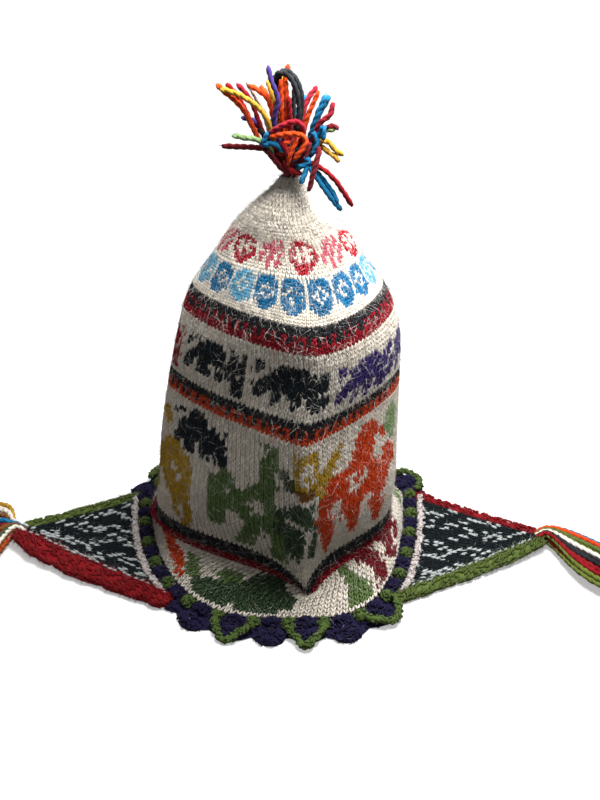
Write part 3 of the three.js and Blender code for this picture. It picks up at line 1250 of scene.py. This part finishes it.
# Tie tassels, with the yarns from the front to the back
TIES = (
    Named(
        name="tie_tassel_left", side=-1, reach=267.8, end_y=-8, end_spread=44,
        arch_at=0.16, arch_y=-10, arch_spread=35,
        yarns=(
            "brown orange cream orange charcoal dark_green charcoal flap_red flap_red "
            "brown crimson maroon blue blue brown grey_white cream cream yellow"
        ).split(),
    ),
    Named(
        name="tie_tassel_right", side=1, reach=266.8, end_y=-66, end_spread=22,
        arch_at=0.2, arch_y=-27, arch_spread=21,
        yarns=(
            "olive flap_red flap_red flap_red charcoal charcoal cream "
            "olive olive flap_green flap_red orange blue blue"
        ).split(),
    ),
)
TIE = Named(
    strands=27, layers=5, layer_step=3, scale=1.55, inside=3, head_out=6, bundle=5.2,
    begin_bundle=0.5, begin_z=6, begin_layer=2.5, head_z=8.1, head_drop=3, head_layer=7,
    rise=7, arch_low=0.35, arch_layer=0.65, settle_at=0.7, settle_layer=3.4, clear=0.15,
    round=0.08, uneven=0.1, jitter=1.2,
)


def tie_tassel(tie):
    """Yarn ends that leave the flap's tip in a bundle, arch over and fan out on the table."""
    work = Work()
    side = tie.side
    tip_x = FLAP_TIP_X - PANEL.tip_back
    tip_y = FLAP_TIP_Y[side]
    head_x = tip_x + TIE.head_out
    floor_z = STRAND.radius * TIE.scale + TIE.clear
    for i in range(TIE.strands):
        fan = 2 * i / (TIE.strands - 1) - 1
        layer = (i * TIE.layer_step % TIE.layers) / (TIE.layers - 1)
        tight = TIE.bundle * fan
        begin_z = TIE.begin_z + TIE.begin_layer * layer
        begin = np.array([side * (tip_x - TIE.inside), tip_y + tight * TIE.begin_bundle, begin_z])
        head_z = TIE.head_z - TIE.head_drop + TIE.head_layer * layer
        head = np.array([side * head_x, tip_y + tight, head_z])
        end_y = tie.end_y + tie.end_spread * fan + rng.normal(0, TIE.jitter)
        shorter = (tie.reach - head_x) * (TIE.round * fan ** 2 + rng.uniform(0, TIE.uneven))
        end = np.array([side * (tie.reach - shorter), end_y, floor_z])
        arch = head + (end - head) * tie.arch_at
        arch[1] = tie.arch_y + tie.arch_spread * fan
        arch_share = TIE.arch_low + TIE.arch_layer * layer
        arch[2] = TIE.head_z + TIE.rise * (1 - fan ** 2 / 2) * arch_share
        settle = arch + (end - arch) * TIE.settle_at
        settle[2] = floor_z + TIE.settle_layer * layer
        yarn = tie.yarns[int(i / TIE.strands * len(tie.yarns))]
        strand(work, [begin, head, arch, settle, end], yarn, TIE.scale)
    work.piece(f"{tie.name}_yarn", "tie_yarn", tie.name)
    return work


# Top tassel: the way each yarn end takes from the knot; its yarn, then x, y and z of each point
TOP_STRANDS = """
orange  -24 -6 25  -37 -6 37
yellow  -11 -8 19  -17 -8 27  -27 -8 33  -35 -8 35
flap_red  -25 -4 28  -32 -4 37
crimson  -20 -2 28  -27 0 36
cream  -14 2 22  -22 4 37
orange  -11 -4 29  -21 0 35.5
yellow  -8 4 24  -11.5 8 36
purple  -8 -8 19  -6 -8 30  -9 -6 38  -11 -2 45
charcoal  -4 2 20  -8 0 36  -5 -3 42  0 -4 40  3.5 -5 33  4.5 -5 24  3 -5 14
charcoal  -3 4 20  -6 2 36  -3 -1 42.5  2 -2 40  5.5 -3 33  6 -3 24  4 -4 14
orange  -4 -5 20  -4.5 -4 39
orange  -1 -5 18  -2 -3 38
orange  -3 6 30  -1 8 44
flap_red  0 -6 20  -0.5 -6 31
charcoal  2 6 28  4 8 37
orange  8.5 -4 19  14.6 -2 33
blue  13 -7 20  18 -6 31.6
blue  14 -5 20  20 -4 31
crimson  15 -8 18  20 -8 22  22 -6 28
maroon  17 -4 13  21 -4 16  25 -2 14
blue  17 -9 17  17 -10 10
yellow  14 -6 8  20 -6 8  24 -8 4  27.7 -8 2
yellow  14 -4 6  22 -8 2  25.5 -10 -1
maroon  15 -10 6  13 -14 -2  9.6 -15 -15
blue  9 -10 -2  5.6 -15 -11
blue  12 -12 -6  20 -14 -17  27 -13 -26
blue  14 -11 -6  22 -13 -16  25 -14 -22
flap_red  15 -12 -3  23 -14 -9  33 -12 -24
pale_green  -14 -8 9  -30 -8 12
maroon  -15 -6 5  -36 0 4.5
charcoal  -12 -4 10  -17 -2 14
orange  -8 16 20  -16 24 30
blue  4 18 18  8 28 24
green  16 14 8  24 20 8
flap_red  -10 16 4  -14 26 2
yellow  -2 14 26  -4 20 36
crimson  8 16 22  14 22 30
purple  -18 10 14  -26 14 16
charcoal  0 18 10  0 26 12
"""
TOP_LOOPS = """
crimson  -10 -10 14  -4 -12 18  3 -12 20  7 -11 16  5 -9 8
orange  -10 -11 12  -3 -13 14  4 -13 14  8 -12 11  6 -13 6  2 -13 1
blue  -11 -10 14  -14 -10 8  -8 -12 9  -3 -12 5
flap_red  -3 -11 0  0 -11 -5  6 -11 -7
charcoal  -13 -6 6  -8 -9 0  -3 -8 -7
maroon  -12 -8 4  -6 -10 -2  -1 -9 -8
blue  7 -11 2  10 -11 -1  4 -12 -3
charcoal  5 -10 8  8 -9 4  4 -9 1
flap_red  -5 -12 10  -2 -13 6  0 -12 0
orange  3 -12 10  0 -13 4  -1 -12 -2
blue  12 -8 14  14 -9 8  11 -9 2
maroon  10 -10 9  8 -11 3  5 -10 -4
flap_red  -8 9 12  0 12 14  8 9 10
blue  -10 8 6  -4 11 0  0 9 -6
orange  10 8 6  5 11 1  1 9 -6
maroon  -12 3 8  -9 5 0  -3 6 -7
crimson  13 2 6  9 4 0  3 6 -7
"""
# The tassel's knot: a core, arcs of yarn over it and wraps round its neck
TOP_SCALE = 1.36
TOP_HEAD = np.array([8.5, -4, 266.2])
TOP_FOOT = Named(place=np.array([0, 0, -7.0]), share=np.array([0.2, 0.2, 0]))
TOP_CUP = Named(drop=1, share=np.array([0.65, 0.65, 0.35]))
TOP_CORE = Named(heights=(-11.5, -8, -2, 4, 9, 12), radii=(3.4, 4, 7, 8, 6, 2), sides=12)
KNOT = Named(rounds=4, points=4, turn=1.8, heights=(-5, 4), rise=(3, 9), out=1.5)
KNOT_YARNS = "maroon blue flap_red charcoal orange maroon flap_red blue maroon orange".split()
WRAP = Named(points=14, radius=4.4, wider=0.7, z=-8, apart=1.5, wave=0.5, scale=0.8)
WRAP_YARNS = ("charcoal", "maroon")


def round_head(radius, turn, height):
    return TOP_HEAD + np.stack([radius * np.cos(turn), radius * np.sin(turn), height], 1)


def top_tassel():
    work = Work()
    heights = np.array(TOP_CORE.heights, float)
    radii = np.array(TOP_CORE.radii, float)
    tube(work, TOP_HEAD + heights[:, None] * UP, radii, TOP_CORE.sides, YARN_INDEX["maroon"])
    for yarn, numbers in table_rows(TOP_STRANDS):
        points = numbers.reshape(-1, 3)
        foot = TOP_FOOT.place + points[0] * TOP_FOOT.share
        cup = points[0] * TOP_CUP.share - UP * TOP_CUP.drop
        strand(work, TOP_HEAD + np.array([foot, cup, *points]), yarn, TOP_SCALE)
    for yarn, numbers in table_rows(TOP_LOOPS):
        strand(work, TOP_HEAD + numbers.reshape(-1, 3), yarn, TOP_SCALE)
    for yarn in KNOT_YARNS * KNOT.rounds:
        turn = rng.uniform(0, 2 * np.pi) + np.linspace(0, KNOT.turn, KNOT.points)
        height = rng.uniform(*KNOT.heights) + np.linspace(0, rng.uniform(*KNOT.rise), KNOT.points)
        radius = np.interp(height, heights, radii) + KNOT.out
        strand(work, round_head(radius, turn, height), yarn, TOP_SCALE)
    for wrap, yarn in enumerate(WRAP_YARNS):
        turn = np.linspace(0, 1, WRAP.points) * 2 * np.pi + wrap
        height = WRAP.apart * wrap + WRAP.z + WRAP.wave * np.sin(2 * turn)
        strand(work, round_head(WRAP.radius + WRAP.wider * wrap, turn, height), yarn, WRAP.scale)
    work.piece("top_tassel_yarn", "top_yarn", "top_tassel")
    return work


# Fuzz: fine hairs that lie over the knitting, some of them pale, the others in the colour of their own yarn
HAIR = Named(thick=0.12, fine=0.052, short=2.8, least=0.06, stand=0.22, curl=0.5, shift=1)
HAIR_TURNS = (0, 2 * np.pi / 3, 4 * np.pi / 3)
HAIR_FACES = np.array([[0, 2, 1], [0, 1, 3], [1, 2, 3], [2, 0, 3]])
BENT_FACES = np.array([
    [0, 2, 1], [0, 1, 4], [0, 4, 3], [1, 2, 5], [1, 5, 4], [2, 0, 3], [2, 3, 5],
    [3, 4, 6], [4, 5, 6], [5, 3, 6],
])


def fuzz(name, slot, works, count, longest, pale, bent=False, stand=HAIR.stand):
    """Hairs rooted at random on stitches that were already made, straight ones or ones with a bend."""
    roots = np.concatenate([root for work in works for root in work.roots])
    outs = np.concatenate([out for work in works for out in work.outs])
    tints = np.concatenate([tint for work in works for tint in work.tints])
    picks = rng.integers(0, len(roots), count)
    out = outs[picks]
    lying = lying_on(out)
    root = roots[picks] + lying * rng.uniform(-HAIR.shift, HAIR.shift, (count, 1))
    heading = unit(lying + out * (np.abs(rng.normal(0, stand, (count, 1))) + HAIR.least))
    length = HAIR.short + (longest - HAIR.short) * rng.random((count, 1)) ** 2
    across = unit(np.cross(heading, out))
    up = np.cross(across, heading)
    places = [root]
    thick = HAIR.fine if bent else HAIR.thick
    if bent:
        places.append(root + heading * length / 2)
        heading = unit(heading + across * rng.normal(0, HAIR.curl, (count, 1)))
    parts = []
    for place in places:
        for turn in HAIR_TURNS:
            parts.append(place + thick * (math.cos(turn) * across + math.sin(turn) * up))
    tip = places[-1] + heading * length / len(places)
    points = np.stack([*parts, tip], 1)
    shape = BENT_FACES if bent else HAIR_FACES
    faces = shape[None] + (np.arange(count) * points.shape[1])[:, None, None]
    tint = np.where(rng.random(count) < pale, YARN_INDEX["fuzz"], tints[picks])
    work = Work()
    work.add(points.reshape(-1, 3), faces.reshape(-1, 3), np.repeat(tint, len(shape)))
    work.piece(name, slot)


# Floor and light, in metres, and socket values of the floor and the sky
FLOOR_HALF = 3.0
FLOOR_CORNERS = ((-1, -1), (1, -1), (1, 1), (-1, 1))
FLOOR_WHITE = {"Base Color": (0.9, 0.9, 0.9, 1), "Roughness": 0.9, "Emission Color": (1, 1, 1, 1)}
FLOOR_GLOW = {"From Min": 0.2, "From Max": 0.6, "To Min": 0.4, "To Max": 0.86}
SKY = {"Color": (1, 1, 1, 1), "Strength": 0.21}
LAMP = Named(place=(0.115, -0.025, 0.56), size=0.3, watts=5.9, turn=(3, 12, 0))


def floor():
    """A white floor that glows more away from the hat, so that shadows show beside it."""
    mesh = bpy.data.meshes.new("floor")
    mesh.from_pydata([(x * FLOOR_HALF, y * FLOOR_HALF, 0) for x, y in FLOOR_CORNERS], [], [(0, 1, 2, 3)])
    material = bpy.data.materials.new("floor_white")
    material.use_nodes = True
    nodes = material.node_tree.nodes
    links = material.node_tree.links
    shader = nodes["Principled BSDF"]
    set_inputs(shader, FLOOR_WHITE)
    place = nodes.new("ShaderNodeTexCoord")
    away = nodes.new("ShaderNodeVectorMath")
    away.operation = "LENGTH"
    glow = nodes.new("ShaderNodeMapRange")
    glow.interpolation_type = "SMOOTHSTEP"
    set_inputs(glow, FLOOR_GLOW)
    links.new(place.outputs["Object"], away.inputs[0])
    links.new(away.outputs["Value"], glow.inputs["Value"])
    links.new(glow.outputs["Result"], shader.inputs["Emission Strength"])
    mesh.materials.append(material)
    obj = bpy.data.objects.new("floor", mesh)
    obj.visible_diffuse = False
    bpy.context.collection.objects.link(obj)


def studio():
    world = bpy.data.worlds.new("studio")
    world.use_nodes = True
    set_inputs(world.node_tree.nodes["Background"], SKY)
    scene = bpy.context.scene
    scene.world = world
    scene.view_settings.view_transform = "Standard"
    light = bpy.data.lights.new("overhead", "AREA")
    light.shape = "DISK"
    light.size = LAMP.size
    light.energy = LAMP.watts
    obj = bpy.data.objects.new("overhead", light)
    obj.location = LAMP.place
    obj.rotation_euler = [math.radians(angle) for angle in LAMP.turn]
    bpy.context.collection.objects.link(obj)


def camera():
    lens = bpy.data.cameras.new("photo_camera")
    lens.sensor_fit = "VERTICAL"
    lens.sensor_height = SENSOR_HEIGHT
    lens.lens = FOCAL_PIXELS / IMAGE_HEIGHT * SENSOR_HEIGHT
    lens.clip_start = CLIP_START
    obj = bpy.data.objects.new("photo_camera", lens)
    obj.location = [value * MM for value in CAMERA_PLACE]
    obj.rotation_euler = (math.radians(90 - CAMERA_PITCH), 0, 0)
    bpy.context.collection.objects.link(obj)
    bpy.context.scene.camera = obj


camera()
floor()
studio()
crown_shell()
crown = crown_stitches()
rim = rim_edging()
flaps = []
for flap_side, flap_word in ((-1, "left"), (1, "right")):
    flaps.append(earflap(flap_side, flap_word))
    flaps.append(flap_seam(flap_side, flap_word))
borders = [flap_border(border) for border in BORDERS]
tassels = [tie_tassel(tie) for tie in TIES] + [top_tassel()]
fuzz("crown_fuzz_lower", "knit", [crown["lower"], crown["llamas"]], count=22000, longest=9, pale=0.12)
fuzz("crown_fuzz_upper", "knit", [crown["animals"]], count=10000, longest=9, pale=0.12)
fuzz("cone_fuzz", "knit", [crown["cone"]], count=7000, longest=5, pale=0.05, stand=0.3)
fuzz("peak_fuzz", "knit", [crown["peak"]], count=4000, longest=8, pale=0.3, stand=0.3)
fuzz("crown_hairs", "knit", crown.values(), count=13500, longest=15, pale=0.6, bent=True)
fuzz("rim_fuzz", "edging", [rim], count=5000, longest=5, pale=0.02)
fuzz("flap_fuzz", "flap", flaps, count=4000, longest=6, pale=0.03)
fuzz("border_fuzz", "flap", borders, count=12000, longest=6, pale=0.0, stand=0.6)
fuzz("tassel_fuzz", "top_yarn", tassels, count=3000, longest=4, pale=0.02)
